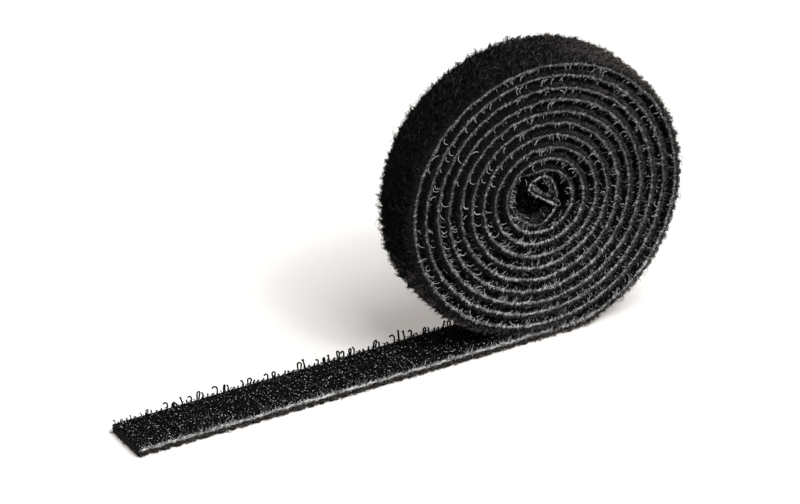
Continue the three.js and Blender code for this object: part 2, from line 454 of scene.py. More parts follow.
def add_node(tree, kind, **values):
    """A new node, with values set directly on its sockets."""
    node = tree.nodes.new(f"ShaderNode{kind}")
    for socket, value in values.items():
        node.inputs[socket].default_value = value
    return node


def wire(tree, *links):
    """Each link names a node, its output, the next node and its input."""
    for source, output, target, socket in links:
        tree.links.new(source.outputs[output], target.inputs[socket])


def grained(name, colours, grain, roughness, shine, bump):
    """A material whose colour wanders between three colours, with a grain of that size in mm."""
    material = plain_shade(name, colours[0], roughness, shine)
    tree = material.node_tree
    shader = tree.nodes["Principled BSDF"]
    where = add_node(tree, "TexCoord")
    scale = add_node(tree, "Mapping", Scale=[1 / (grain * MM)] * 3)
    noise = add_node(tree, "TexNoise", Scale=1, Detail=3)
    ramp = add_node(tree, "ValToRGB")
    ramp.color_ramp.elements.new(0.5)
    for element, position, colour in zip(ramp.color_ramp.elements, (0.3, 0.5, 0.7), colours):
        element.position = position
        element.color = (*colour, 1)
    height = add_node(tree, "Bump", Strength=0.6, Distance=bump * MM)
    wire(
        tree, (where, "Object", scale, "Vector"), (scale, "Vector", noise, "Vector"),
        (noise, "Fac", ramp, "Fac"), (ramp, "Color", shader, "Base Color"),
        (noise, "Fac", height, "Height"), (height, "Normal", shader, "Normal"),
    )
    return material


# %% The finishes of this tape
pile_ground = grained(
    "pile_ground", [(0.002, 0.002, 0.0023), (0.008, 0.0076, 0.0076), (0.05, 0.046, 0.043)],
    grain=0.16, roughness=0.95, shine=0.05, bump=0.12,
)
film_grey = grained(
    "film_grey", [(0.012, 0.012, 0.0125), (0.05, 0.05, 0.05), (0.21, 0.21, 0.205)],
    grain=0.22, roughness=0.75, shine=0.2, bump=0.06,
)
woven_black = grained(
    "woven_black", [(0.0025, 0.0025, 0.0025), (0.005, 0.005, 0.0055), (0.012, 0.012, 0.0125)],
    grain=0.25, roughness=0.9, shine=0.02, bump=0.05,
)
PILE_SHADES = [
    plain_shade("pile_black", (0.004, 0.004, 0.0048), 0.9, 0.05),
    plain_shade("pile_soft_black", (0.014, 0.0128, 0.0128), 0.85, 0.08),
    plain_shade("pile_brown_grey", (0.085, 0.078, 0.076), 0.75, 0.2),
    # Dusty brown fibres. The same shade also paints light onto the pile where light falls.
    plain_shade("pile_dusty_and_lit_brown", (0.19, 0.165, 0.15), 0.8, 0.15),
]
FUZZ_SHADES = [
    plain_shade("fuzz_dark", (0.03, 0.03, 0.03), 0.6, 0.3),
    plain_shade("fuzz_grey", (0.22, 0.22, 0.22), 0.5, 0.4),
    plain_shade("fuzz_pale", (0.74, 0.74, 0.73), 0.4, 0.5),
]
# The hooks are black nylon. The pale shade is a painted highlight where light catches a hook.
HOOK_SHADES = [
    plain_shade("hook_black", (0.003, 0.003, 0.0035), 0.45, 0.04),
    plain_shade("hook_grey", (0.1, 0.1, 0.104), 0.3, 0.5),
    plain_shade("hook_pale_highlight", (0.56, 0.56, 0.56), 0.3, 0.5),
    # A grey used only for painted glints on the tops of the field hooks.
    plain_shade("hook_glint_grey", (0.3, 0.3, 0.302), 0.4, 0.5),
]


def mixed(random, count, weights):
    return random.choice(len(weights), count, p=weights)


# %% [markdown]
# ## The bond film
# The film is the grey line that draws the spiral. On the real tape it is a laminate with cut
# edges, so the line is never quite even: it swells, thins and shows broken threads. A band with a
# rounded edge does it, with its edge pushed in and out a little by a smooth random height.

# %% Build the film
FILM_EDGE_BULGE = 0.05
FILM_EDGE_WANDER = 0.1
FILM_LINE_WANDER = 0.13
FILM_START, FILM_STEP = 0.12, 0.22
# For each point: its side, its rise and its share of the bulge.
FILM_HALF_RING = np.array([
    (-1, -1, -0.4), (-1, -0.5, 0.5), (-1, 0, 1), (-1, 0.5, 0.5), (-1, 1, -0.4), (-0.4, 1, 0), (0.4, 1, 0),
])


def film_sway(along, side):
    """How the edge of the film wanders off its line, -1.5 to 1.5."""
    return rolling(along / 1.1, side * 3, 13) + 0.5 * rolling(along / 0.4, side, 14)


def film_rings(low, high):
    """The second half of each ring is the first one, turned round."""
    stations = stations_between(low, high, FILM_STEP)
    side, rise, proud = np.vstack([FILM_HALF_RING, FILM_HALF_RING * [-1, -1, 1]]).T
    at_edge = np.abs(side) > 0.9
    wander = FILM_EDGE_WANDER * rolling(stations / 0.5, side * 7, 11)
    across = side * (HALF_WIDTH + FILM_EDGE_BULGE * proud) + wander * np.sign(side) * at_edge
    swell = 1 + 0.45 * rolling(stations / 0.55, side * 5, 12) * at_edge
    sway = FILM_LINE_WANDER * film_sway(stations, side) * at_edge
    return place(stations, across, rise * FILM_THICKNESS / 2 * swell + sway)


for length in LENGTHS:
    low, high = max(length["low"], FILM_START), min(length["high"], STRIP_LENGTH)
    film = web_piece(f"{length['name']}_bond_film", film_rings(low, high), [film_grey])
    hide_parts(*[f"{node}_bond_film" for node in length["nodes"]])
    follow(film, length)

# %% [markdown]
# ## The body of the fleece
# Under the loose fibres, a fleece is a dense mat. We build that mat as a lumpy band, a bit thinner
# and narrower than the whole fleece, so that the strands which come next have something dark to
# stand on and the light can't shine through.

# %% Build the mat of the fleece
MAT_LIFT = 0.74
MAT_EDGE = 4.74
MAT_LUMP = 0.10
MAT_STEP, MAT_COLUMNS = 0.38, 25
FLAT_THICKER = 0.26
FLAT_WIDER = 0.14
KNIT_COLUMN, LUMPY_BEYOND = 2.3, 4
LOFT, LOFT_HALF_WIDTH = 1.0, 4.2
PLUMP, PLUMP_STARTS, PLUMP_STOPS = 0.5, (170, 235), (285, 345)


def plump(along):
    """Extra thickness on the left of the outer turn, where nothing has pressed the pile."""
    return PLUMP * hill(turned_at(along), PLUMP_STARTS, PLUMP_STOPS)


def flatness(along):
    """1 on the flat free end, 0 in the roll."""
    return 1 - ease(along, AT_FOOT - 6, AT_FOOT + 6)


def knit_column(along):
    """How full the knitted edge is, from 0 in a notch to 1 on a lump. No two lumps are alike."""
    column = np.abs(np.sin(np.pi * along / KNIT_COLUMN + 1.3 * rolling(along / 5, 0, 24)))
    return 0.6 + (column - 0.6) * (0.65 + 0.6 * rolling(along / 2.7, 0, 25))


def mat_rings(low, high):
    stations = stations_between(low, high, MAT_STEP)
    flat = flatness(stations)
    top = np.linspace(-MAT_EDGE, MAT_EDGE, MAT_COLUMNS)
    shoulder, foot, inner = MAT_EDGE + 0.06, HALF_WIDTH - 0.1, FILM_THICKNESS / 2
    across = np.concatenate([[-foot, -shoulder], top, [shoulder, foot, 3, -3]])
    lift = np.concatenate([[inner, 0.5], np.full(MAT_COLUMNS, MAT_LIFT), [0.5, inner, inner, inner]])
    lift[[2, MAT_COLUMNS + 1]] -= 0.1
    is_top = lift > 0.6
    covered = ease(stations, TURN_ENDS, TURN_ENDS + 12)
    loft = LOFT * covered * np.clip(1 - (across / LOFT_HALF_WIDTH) ** 2, 0, 1) * is_top
    lumps = rolling(stations / 0.8, across / 0.8, 21) + 0.6 * rolling(stations / 0.35, across / 0.4, 22)
    column = knit_column(stations)
    at_edge = np.abs(across) > LUMPY_BEYOND
    push = (0.2 + 0.4 * flat) * (column - 0.6) + FLAT_WIDER * flat
    ragged = (0.08 * rolling(stations / 0.45, across, 23) + push * np.sign(across)) * at_edge
    thick = lift + MAT_LUMP * lumps * is_top + flat * FLAT_THICKER * is_top + loft + plump(stations) * is_top
    corner = 0.1 * flat * (np.abs(np.abs(across) - MAT_EDGE) < 0.01)
    return place(stations, across + ragged, thick + corner + 0.1 * (column - 0.6) * is_top * at_edge)


for length in LENGTHS:
    low, high = max(length["low"], 0), min(length["high"], STRIP_LENGTH)
    mat = web_piece(f"{length['name']}_fleece_mat", mat_rings(low, high), [pile_ground])
    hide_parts(*[f"{node}_loop_fleece" for node in length["nodes"]])
    follow(mat, length)

# %% [markdown]
# ## The woven ground of the hook tape
# The hooks are rooted in a tight plain weave. On the free end you look right onto it, so there the
# weave is real: the surface rises and falls by turns along and across, as over and under threads
# do. Inside the roll only its edge shows, so a coarser band is enough.

# %% Build the ground
WEAVE_ALONG, WEAVE_ACROSS, WEAVE_HEIGHT = 0.46, 0.36, 0.03
GROUND_LIFT = -FILM_THICKNESS / 2 - GROUND_THICKNESS
RAGGED_BEYOND = 4.8
# The step along the tape, and the number of columns across it.
COARSE, FINE = (0.5, 9), (0.13, 81)


def ground_rings(low, high, step, columns):
    stations = stations_between(low, high, step)
    face = np.linspace(HALF_WIDTH - 0.08, -HALF_WIDTH + 0.08, columns)
    across = np.concatenate([face, [-HALF_WIDTH, -HALF_WIDTH + 0.02, HALF_WIDTH - 0.02, HALF_WIDTH]])
    seat, rim = -FILM_THICKNESS / 2, GROUND_LIFT + 0.06
    lift = np.concatenate([np.full(columns, GROUND_LIFT), [rim, seat, seat, rim]])
    woven = np.cos(np.pi * stations / WEAVE_ALONG) * np.cos(np.pi * across / WEAVE_ACROSS)
    lift = lift + np.where(np.arange(len(across)) < columns, WEAVE_HEIGHT * woven, 0)
    ragged = 0.05 * rolling(stations / 0.4, np.sign(across) * 3, 31) * (np.abs(across) > RAGGED_BEYOND)
    return place(stations, across + ragged, lift)


for length in LENGTHS:
    low, high = max(length["low"], 0), min(length["high"], STRIP_LENGTH)
    step, columns = COARSE if length["name"] == "roll" else FINE
    ground = web_piece(f"{length['name']}_hook_ground", ground_rings(low, high, step, columns), [woven_black])
    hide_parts(*[f"{node}_hook_tape" for node in length["nodes"]])
    follow(ground, length)

# %% [markdown]
# ## The brushed pile
# A brushed fleece stands in little pointed tufts, because neighbouring fibres cling together. So
# each tuft gets a tip of its own, leaning somewhere, and its fibres start around it and run to
# that tip. It covers the outer turn and the underside of the free end, where you can see it.


# %% Where the pile is painted lighter, where light falls on it, and where it is black
PLAIN, LIT_PILE_MIX, BROWN = [0.6, 0.355, 0.045, 0.0], [0.2, 0.28, 0.36, 0.16], [0.16, 0.24, 0.34, 0.26]
# Painted light: the share of the lighter mix at each angle round the roll, counted from the bottom through
# the right. It is high at the bottom and on the right, where light falls, and nil on the upper left.
PAINTED_LIGHT_SWEEP = [0, 30, 90, 150, 172, 200, 310, 350, 360]
PAINTED_LIGHT_SHARE = [0.75, 0.82, 0.82, 0.82, 0.18, 0.0, 0.0, 0.65, 0.75]


def sweep_at(along):
    """Degrees round the roll, counted from the bottom to the right, from 0 to 360 on each turn."""
    return turned_at(along) % 360


def angle_at(along):
    return np.radians(sweep_at(along))


def pile_shades(random, along):
    # Painted light on the pile, set by its angle round the roll and taken away in the fold.
    share = np.interp(sweep_at(along), PAINTED_LIGHT_SWEEP, PAINTED_LIGHT_SHARE)
    share = share * (1 - 0.85 * ease(along, AT_FOLD - 6, AT_FOLD + 6))
    painted_lit = random.uniform(size=len(along)) < share
    shade = np.where(painted_lit, mixed(random, len(along), LIT_PILE_MIX), mixed(random, len(along), PLAIN))
    return np.where(along < AT_FOOT, mixed(random, len(along), BROWN), shade)


# %% Grow tufts
def jittered(low, high, spacing, random):
    """Places on a grid over the strip, each moved a little: arrays of along and across."""
    along = np.arange(low, high, spacing)
    across = np.arange(-HALF_WIDTH + 0.25, HALF_WIDTH - 0.2, spacing)
    along, across = (a.ravel() for a in np.meshgrid(along, across, indexing="ij"))
    along = along + random.uniform(-0.5, 0.5, len(along)) * spacing
    across = across + random.uniform(-0.5, 0.5, len(across)) * spacing
    return along, np.clip(across, -HALF_WIDTH + 0.1, HALF_WIDTH - 0.1)


def tufts(low, high, spacing, per_tuft, seed, base, reach_range, lean):
    random = np.random.default_rng(seed)
    tuft_along, tuft_across = jittered(low, high, spacing, random)
    count = len(tuft_along)
    reach = reach_range[0] + (reach_range[1] - reach_range[0]) * random.uniform(size=count) ** 2
    lean_along = random.normal(-lean, 0.3, count) * reach
    lean_across = (random.normal(0, 0.2, count) + 0.12 * tuft_across / HALF_WIDTH) * reach

    def spread(values, width):
        return np.repeat(values, per_tuft) + random.normal(0, width, count * per_tuft)

    root = [spread(tuft_along, 0.36 * spacing), spread(tuft_across, 0.36 * spacing)]
    height = np.repeat(reach, per_tuft) * random.uniform(0.5, 1.05, count * per_tuft)
    base = base + np.repeat(plump(tuft_along), per_tuft)
    tip = [spread(tuft_along + lean_along, 0.1 * spacing), spread(tuft_across + lean_across, 0.1 * spacing)]
    knee = [r * 0.7 + t * 0.3 for r, t in zip(root, tip)]
    paths = paths_through([*root, base - 0.15], [*knee, base + height * 0.5], [*tip, base + height])
    roots = np.repeat(tuft_along, per_tuft)
    radii = radii_for(random, len(roots), [0.04, 0.032, 0.0], 0.75, 1.25)
    square = np.tile([0.0, 1.0, 0.0], (len(roots), 1))
    return roots, paths, radii, pile_shades(random, roots), square


QUARTERS = np.linspace(AT_FOOT + 3, TURN_ENDS + 4, 5)
for kind, low, high, spacing, per_tuft, base, reach_range, lean, seed in [
    ("fleece_nap_lower_right", QUARTERS[0], QUARTERS[1], 0.78, 26, MAT_LIFT, (0.3, 0.85), 0.2, 41),
    ("fleece_nap_upper_right", QUARTERS[1], QUARTERS[2], 0.68, 20, MAT_LIFT, (0.4, 1.2), 0.3, 44),
    ("fleece_nap_upper_left", QUARTERS[2], QUARTERS[3], 0.64, 17, MAT_LIFT, (0.5, 1.65), 0.5, 42),
    ("fleece_nap_lower_left", QUARTERS[3], QUARTERS[4], 0.7, 21, MAT_LIFT, (0.7, 1.9), 0.5, 45),
    ("fleece_nap", 0.2, QUARTERS[0], 0.78, 13, MAT_LIFT + FLAT_THICKER, (0.12, 0.3), 0.1, 43),
]:
    strands = tufts(low, high, spacing, per_tuft, seed, base, reach_range, lean)
    grow(kind, strands, PILE_SHADES)

# %% [markdown]
# ## Fibres that have come loose
# Long single fibres have left the pile of the outer turn and curl away from it. Each is a short
# piece of a spiral with a size and a start of its own. Low on the left the photograph shows many
# thin, pale ones, so that stretch gets a second, finer set in pale shades: partly dust, and partly
# painted light where light falls on them.


# %% Add fly-away fibres to the outer turn
def fly_away(low, high, count, seed):
    random = np.random.default_rng(seed)
    along = random.uniform(low, high, count)
    across = random.uniform(-HALF_WIDTH, HALF_WIDTH, count)
    t = np.linspace(0, 1, 6)
    reach, curl = random.uniform(0.5, 1.25, (count, 1)), random.uniform(0.2, 0.6, (count, 1))
    phase, turns = random.uniform(0, 6.3, (count, 1)), random.uniform(3, 7, (count, 1))
    swing = phase + turns * t
    spot_along = along[:, None] + curl * np.sin(swing) - curl * np.sin(phase)
    spot_across = across[:, None] + 0.6 * (curl * np.cos(swing) - curl * np.cos(phase))
    paths = place(spot_along, spot_across, MAT_LIFT + plump(spot_along) + reach * np.sqrt(t))
    radii = radii_for(random, count, [1.0, 1.0, 0.95, 0.85, 0.7, 0.0], 0.026, 0.04)
    square = square_for(random, count, [0.0, 1.0, 0.3], 0.2)
    return along, paths, radii, pile_shades(random, along), square


strands = fly_away(AT_FOOT + 3, TURN_ENDS + 2, count=4200, seed=47)
grow("fly_away_fibres", strands, PILE_SHADES)

LOWER_LEFT, FINER = along_at([285, 352]), 0.8
roots, paths, radii, shade, square = fly_away(*LOWER_LEFT, count=1500, seed=48)
# Pale shades: partly dust, partly painted light.
shade = np.where(np.arange(len(roots)) % 3 > 0, 3, 2)
grow("dusty_and_lit_fly_away_fibres", (roots, paths, radii * FINER, shade, square), PILE_SHADES)

# %% [markdown]
# ## The cut edges of the fleece
# Where the fleece was slit, its fibres stick out sideways and fill the space between the turns.
# These are single fibres: they start in the edge of the mat and wander out, up and along.


# %% Grow the fringe on both edges
SIDES = {"near": -1, "far": 1}
THIRDS = [0.1, 0.3 * STRIP_LENGTH, 0.6 * STRIP_LENGTH, STRIP_LENGTH - 0.3]


def fringe(side, low, high, count, seed):
    random = np.random.default_rng(seed)
    along = random.uniform(low, high, count)
    bulge = 0.6 * flatness(along) * (knit_column(along) - 0.5)
    lift = random.uniform(0.15, MAT_LIFT + 0.1 + plump(along), count)
    over_film = random.uniform(size=count) < 0.22
    out = np.where(over_film, random.uniform(0.12, 0.32, count), random.uniform(0.02, 0.42, count))
    up = np.where(over_film, -random.uniform(0.2, 0.7, count), random.normal(0.18, 0.3, count))
    drift = random.normal(0, 0.3, count)
    start = [along, side * random.uniform(4.1, 4.8, count), lift]
    middle = [along + drift * 0.3, side * (4.7 + out * 0.8 + bulge), lift + up * 0.2]
    end = [along + drift, side * (MAT_EDGE + out + bulge), np.clip(lift + up, -0.35, 1.5 + plump(along))]
    radii = radii_for(random, count, [0.036, 0.028, 0.0], 0.7, 1.2)
    square = square_for(random, count, [0.0, 0.0, 1.0], 0.3)
    return along, paths_through(start, middle, end), radii, pile_shades(random, along), square


for number, (low, high) in enumerate(zip(THIRDS, THIRDS[1:])):
    for edge, side in SIDES.items():
        strands = fringe(side, low, high, count=19500, seed=51 + 2 * number + (side > 0))
        grow(f"fringe_{edge}_{number + 1}", strands, PILE_SHADES)

# %% [markdown]
# ## Broken threads along the film
# Seen close, the grey line is a rope of broken pale threads. Most lie along the edge and overlap,
# a few flare out of it. They do what no texture can: they break the outline of the line. Short
# fuzz between them needs only two points for each fibre.


# %% Knots: pale and dark patches that follow each other along the line
KNOT_SPACING = 0.24
# Painted light: the line is made paler towards the bottom of the roll. It is also made darker at the sides.
PAINTED_LIGHT_BELOW, DIM_AT_THE_SIDES = 0.54, 0.26


def knotted(random, along, weights):
    """Shades like mixed() gives, but pale ones gather in the knots and dark ones between them."""
    knot = 0.5 + 0.5 * rolling(along / KNOT_SPACING, 0, 64) + random.normal(0, 0.24, len(along))
    turned = angle_at(along)
    # Paler towards the bottom as painted light, half as much on the free end, and darker at the sides.
    tone = PAINTED_LIGHT_BELOW * np.maximum(np.cos(turned), 0) - DIM_AT_THE_SIDES * np.abs(np.sin(turned))
    knot += np.where(along < AT_FOOT, PAINTED_LIGHT_BELOW / 2, tone)
    dark, grey = weights[0], weights[0] + weights[1]
    ranked = np.argsort(np.argsort(knot)) / len(along)
    return np.where(ranked < dark, 0, np.where(ranked < grey, 1, 2))


# %% Lay the broken threads
def film_threads(side, low, high, count, seed, steep, length_range, lift_range, thickness, weights):
    """steep is how far, at most, a thread crosses the line in mm, from one end to the other."""
    random = np.random.default_rng(seed)
    along = random.uniform(low, high, count)
    length = random.uniform(*length_range, count)
    t = np.linspace(0, 1, 4)
    below = np.maximum(np.cos(angle_at(along)), 0) * (along > AT_FOOT)
    lift = random.uniform(*lift_range, count)
    cross = random.uniform(-steep, steep, count) * (1 + 0.25 * below)
    bow = random.normal(0, 0.06, count)
    spot = along[:, None] + length[:, None] * t
    lift = lift[:, None] + cross[:, None] * (t - 0.5) + bow[:, None] * np.sin(np.pi * t)
    lift = lift + FILM_LINE_WANDER * film_sway(spot, side)
    out = random.uniform(-0.02, 0.08, count)[:, None] * np.ones(4)
    out[:, -1] += random.uniform(-0.08, 0.12, count)
    paths = place(spot, side * (HALF_WIDTH + out), lift)
    taper = np.array([0.5, 1.0, 0.85, 0.25])
    radii = (random.uniform(0.5, 1.0, count) * (1 + 0.15 * below))[:, None] * thickness * taper
    square = square_for(random, count, [0.0, 1.0, 0.0], 0.05)
    return along, paths, radii, knotted(random, along, weights), square


END = STRIP_LENGTH - 1.7
THREADS = {
    "film_threads": (0.38, (0.08, 0.3), (-0.1, 0.1), 0.047, [0.44, 0.28, 0.28]),
    "film_spurs": (0.8, (-0.2, 0.2), (-0.16, 0.14), 0.031, [0.25, 0.35, 0.4]),
    "worn_edge": (0.12, (0.3, 1.2), (-0.26, -0.02), 0.06, [0.12, 0.5, 0.38]),
    "fold_threads": (0.3, (0.12, 0.4), (-0.16, 0.12), 0.06, [0.25, 0.25, 0.5]),
}
for kind, edge, low, high, count, seed in [
    ("film_threads", "near", 0.3, END, 9500, 65),
    ("film_threads", "far", 0.3, END, 9500, 66),
    ("film_spurs", "near", 0.3, END, 8500, 67),
    ("film_spurs", "far", 0.3, END, 8500, 68),
    ("worn_edge", "near", 0.3, AT_FOOT, 2600, 69),
    ("fold_threads", "near", AT_FOLD + 23, END, 320, 70),
]:
    strands = film_threads(SIDES[edge], low, high, count, seed, *THREADS[kind])
    grow(f"{kind}_{edge}", strands, FUZZ_SHADES, pointed=False)


# %% Grow the fuzz of the film edges
def film_fuzz(side, count, seed):
    random = np.random.default_rng(seed)
    along = random.uniform(0.05, STRIP_LENGTH - 0.2, count)
    sway = FILM_LINE_WANDER * film_sway(along, side)
    lift = np.clip(random.normal(0, 0.08, count), -0.15, 0.15) + sway
    out = random.uniform(0.02, 0.2, count)
    flare = random.normal(0, 0.17, count)
    start = [along, np.full(count, side * (HALF_WIDTH - 0.05)), lift]
    end = [along + random.normal(0, 0.18, count), side * (HALF_WIDTH + out), lift + flare]
    radii = radii_for(random, count, [0.024, 0.0], 0.7, 1.4)
    square = square_for(random, count, [0.0, 0.0, 1.0], 0.3)
    return along, paths_through(start, end), radii, mixed(random, count, [0.35, 0.45, 0.2]), square


for edge, side in SIDES.items():
    grow(f"film_fuzz_{edge}", film_fuzz(side, count=16000, seed=61 + (side > 0)), FUZZ_SHADES)

# %% [markdown]
# ## The hooks
# Hook tape is woven with stiff loops that are then cut on one side. So a row holds a repeating
# family: an open hook, a loop that the cutter missed, the bare stub of a cut leg with a melted
# ball, and short stubs. Each is one line in a plane, drawn as a tube. The family repeats about
# every 4.6 mm, which you can see along the far edge of the free end.

# %% The profiles of the family, in mm: forward along the tape, and up from the ground
HOOK_POINTS = 15
HOOK_RADIUS = 0.085


def arc(centre, radius, start, end, count):
    angles = np.radians(np.linspace(start, end, count))
    return np.column_stack([centre[0] + radius * np.cos(angles), centre[1] + radius * np.sin(angles)])


def even(points):
    """The same line with HOOK_POINTS points, evenly apart."""
    points = np.asarray(points, float)
    return resampled(points, np.linspace(0, walked(points)[-1], HOOK_POINTS))


def leaning(profile, share):
    return profile + np.column_stack([share * profile[:, 1], np.zeros(len(profile))])


open_hook = even(np.vstack([[(0.1, -0.1), (0.2, 0.5)], arc((-0.12, 0.74), 0.32, -15, 165, 12)]))
loop_top = arc((0, 0.84), 0.27, 200, -20, 14)
closed_loop = even(np.vstack([[(-0.2, -0.1), (-0.26, 0.45)], loop_top, [(0.17, 0.4), (0.08, -0.1)]]))
PROFILES = [
    open_hook,
    leaning(even(np.vstack([[(0.1, -0.1), (0.2, 0.4)], arc((-0.14, 0.64), 0.34, 0, 125, 12)])), 0.1),
    closed_loop,
    leaning(closed_loop, 0.22),
    even([(0.05, -0.1), (0.0, 0.35), (-0.1, 0.8), (-0.2, 1.2)]),
    even([(0.0, -0.1), (0.1, 0.3), (0.12, 0.6), (-0.04, 0.88)]),
    even([(0.0, -0.1), (0.05, 0.2), (0.18, 0.45)]),
    even([(0.05, -0.1), (-0.06, 0.22), (-0.2, 0.42)]),
]
FAMILY = np.array([[0, 1], [2, 3], [4, 5], [6, 6], [7, 6]])
BALL_PROFILE = 4
print(f"{len(PROFILES)} profiles for a family of {len(FAMILY)}")


def hooks(along, across, kind, seed, size, yaw_spread, radius):
    """Paths, radii and directions of hooks that stand on the ground at the given places."""
    random = np.random.default_rng(seed)
    count = len(along)
    profile = np.array(PROFILES)[kind] * (size * random.uniform(0.8, 1.15, count))[:, None, None]
    yaw = random.normal(0, yaw_spread, count)
    tilt = random.normal(0, 0.10, count)
    forward, rise = profile[:, :, 0], profile[:, :, 1]
    spot_along = along[:, None] + forward * np.cos(yaw)[:, None]
    spot_across = across[:, None] + forward * np.sin(yaw)[:, None] + rise * tilt[:, None]
    paths = place(spot_along, spot_across, GROUND_LIFT - rise)
    radii = radius * np.clip(size, 0.6, 1)[:, None] * np.ones(HOOK_POINTS)
    radii[kind == BALL_PROFILE, -2:] *= 1.5
    ahead_x, ahead_z = on_route(heading, along)
    square = np.column_stack([-np.sin(yaw) * ahead_x, np.cos(yaw), -np.sin(yaw) * ahead_z])
    return paths, radii, square


# %% Sizes of the free end, and a way to plant in rows
HOOK_PITCH = 0.92
FAMILY_PITCH = 4.6
FAMILY_PLACES = np.array([0.0, 1.2, 2.1, 2.95, 3.75])
FAR_RADIUS, FIELD_RADIUS = HOOK_RADIUS * 1.8, HOOK_RADIUS * 1.1
FIELD_ALONG, FIELD_ACROSS = 0.54, 0.45
FIELD_KINDS = [0.3, 0.26, 0.14, 0.14, 0.02, 0.04, 0.05, 0.05]
# Painted highlights: the top steps of most field hooks take grey or pale shades, which stand for glints.
TOP_STEPS = slice(6, 8)
TOP_GLINTS = [0.18, 0.4, 0.18, 0.24]
# Where the painted shade of the roll begins on the free end.
PAINTED_SHADE_FROM = AT_FOOT - 30


def planted(rows, columns, seed, loose):
    """Places of hooks in rows, a little loose, with every other row half a step along."""
    random = np.random.default_rng(seed)
    pitch = columns[1] - columns[0]
    row_number = np.repeat(np.arange(len(rows)), len(columns))
    along = np.tile(columns, len(rows)) + pitch / 2 * (row_number % 2)
    along = along + random.normal(0, loose, len(along))
    return random, along, rows[row_number] + random.normal(0, loose / 2, len(along))


# %% Plant the families along the far edge
random = np.random.default_rng(71)
along = (np.arange(0.4, AT_FOOT - 4, FAMILY_PITCH)[:, None] + FAMILY_PLACES).ravel()
count = len(along)
along = along + random.normal(0, 0.12, count)
across = np.full(count, HALF_WIDTH - 0.15)
member = np.arange(count) % len(FAMILY)
member = np.where(random.uniform(size=count) < 0.8, member, mixed(random, count, [0.2] * 5))
kind = FAMILY[member, mixed(random, count, [0.5, 0.5])]
size = random.uniform(0.95, 1.35, count) * (0.5 + 0.5 * ease(along, 0, 17))
paths, radii, square = hooks(along, across, kind, 72, size, yaw_spread=0.7, radius=FAR_RADIUS)
far_hooks = (along, paths, radii, np.zeros((count, HOOK_POINTS - 1), int), square)
print(f"{count} hooks in the far row")

# %% Plant the field between the edges, with painted glints on its tops
rows = np.arange(-HALF_WIDTH + 0.35, HALF_WIDTH - 0.6, FIELD_ACROSS)
columns = np.arange(0.3, AT_FOOT + 2.0, FIELD_ALONG)
random, along, across = planted(rows, columns, seed=73, loose=0.08)
count = len(along)
kind = mixed(random, count, FIELD_KINDS)
size = random.uniform(0.5, 0.68, count)
glint = mixed(random, count, TOP_GLINTS)
# Painted shade of the roll: near its foot, on the far part of the field, the glints are taken away.
painted_shade_under_the_roll = ease(along, PAINTED_SHADE_FROM, AT_FOOT - 8) * ease(across, -3.6, 1.5)
glint[random.uniform(size=count) < 0.97 * painted_shade_under_the_roll] = 0
shade = np.zeros((count, HOOK_POINTS - 1), int)
shade[:, TOP_STEPS] = glint[:, None]
paths, radii, square = hooks(along, across, kind, 74, size, yaw_spread=0.9, radius=FIELD_RADIUS)
field_hooks = (along, paths, radii, shade, square)
both = [np.concatenate(pair) for pair in zip(far_hooks, field_hooks)]
grow("hooks", both, HOOK_SHADES, sides=5, pointed=False)

# %% [markdown]
# ## Worn threads on the free end
# The slit edge is worn, so pale ends of thread stand up from it, some in pairs like small tents.
# Mostly dark ones stick out of the cut end. And between the hook families, now and then, one thread
# of the weave lies on top and runs across to the edge. All are strands again, only thinner.

# %% Frayed ends along both edges
WEDGE_LENGTH = 9
FRAYED = {"near": (2500, 91), "far": (420, 92)}


def frayed(side, count, seed):
    random = np.random.default_rng(seed)
    along = np.sort(random.uniform(0.3, AT_FOOT + WEDGE_LENGTH, count))
    tall = random.uniform(size=count) < np.where(along < AT_FOOT - WEDGE_LENGTH, 0.06, 0.1)
    length = np.where(tall, random.uniform(0.7, 1.25, count), random.uniform(0.15, 0.55, count))
    lean = random.choice([-1, 1], count) * random.uniform(0.2, 1.0, count)
    inward = random.uniform(-0.1, 0.6, count)
    t = np.linspace(0, 1, 4)
    spot_along = along[:, None] + (lean * length)[:, None] * t**1.3
    spot_across = side * (HALF_WIDTH + 0.03 - (inward * length)[:, None] * t)
    paths = place(spot_along, spot_across, -0.1 - length[:, None] * t)
    radii = radii_for(random, count, [0.045, 0.04, 0.032, 0.0], 0.6, 1.1)
    square = square_for(random, count, [0.0, 1.0, 0.0], 0.2)
    shade = mixed(random, count, [0.25, 0.45, 0.3])
    # Painted shade of the roll: on the far edge near the foot most threads turn dark.
    painted_shade = ease(along, PAINTED_SHADE_FROM, AT_FOOT - 10) * (side > 0)
    shade[random.uniform(size=count) < 0.85 * painted_shade] = 0
    return along, paths, radii, shade, square


for edge, side in SIDES.items():
    grow(f"frayed_{edge}", frayed(side, *FRAYED[edge]), FUZZ_SHADES)


# %% Threads that stick out of the cut end
def cut_end_threads(count, seed):
    random = np.random.default_rng(seed)
    lift = random.uniform(-0.5, FLEECE_THICKNESS * 0.8, count)
    start = [np.full(count, 0.3), random.uniform(-4.9, 4.9, count), lift]
    out = random.uniform(0.05, 0.5, count) ** 1.5
    end = [-out, start[1] + random.normal(0, 0.15, count), lift + random.normal(0, 0.12, count)]
    radii, square = np.tile([0.045, 0.0], (count, 1)), np.tile([0.0, 1.0, 0.2], (count, 1))
    return start[0], paths_through(start, end), radii, mixed(random, count, [0.9, 0.1, 0]), square


grow("cut_end_threads", cut_end_threads(count=150, seed=96), FUZZ_SHADES)


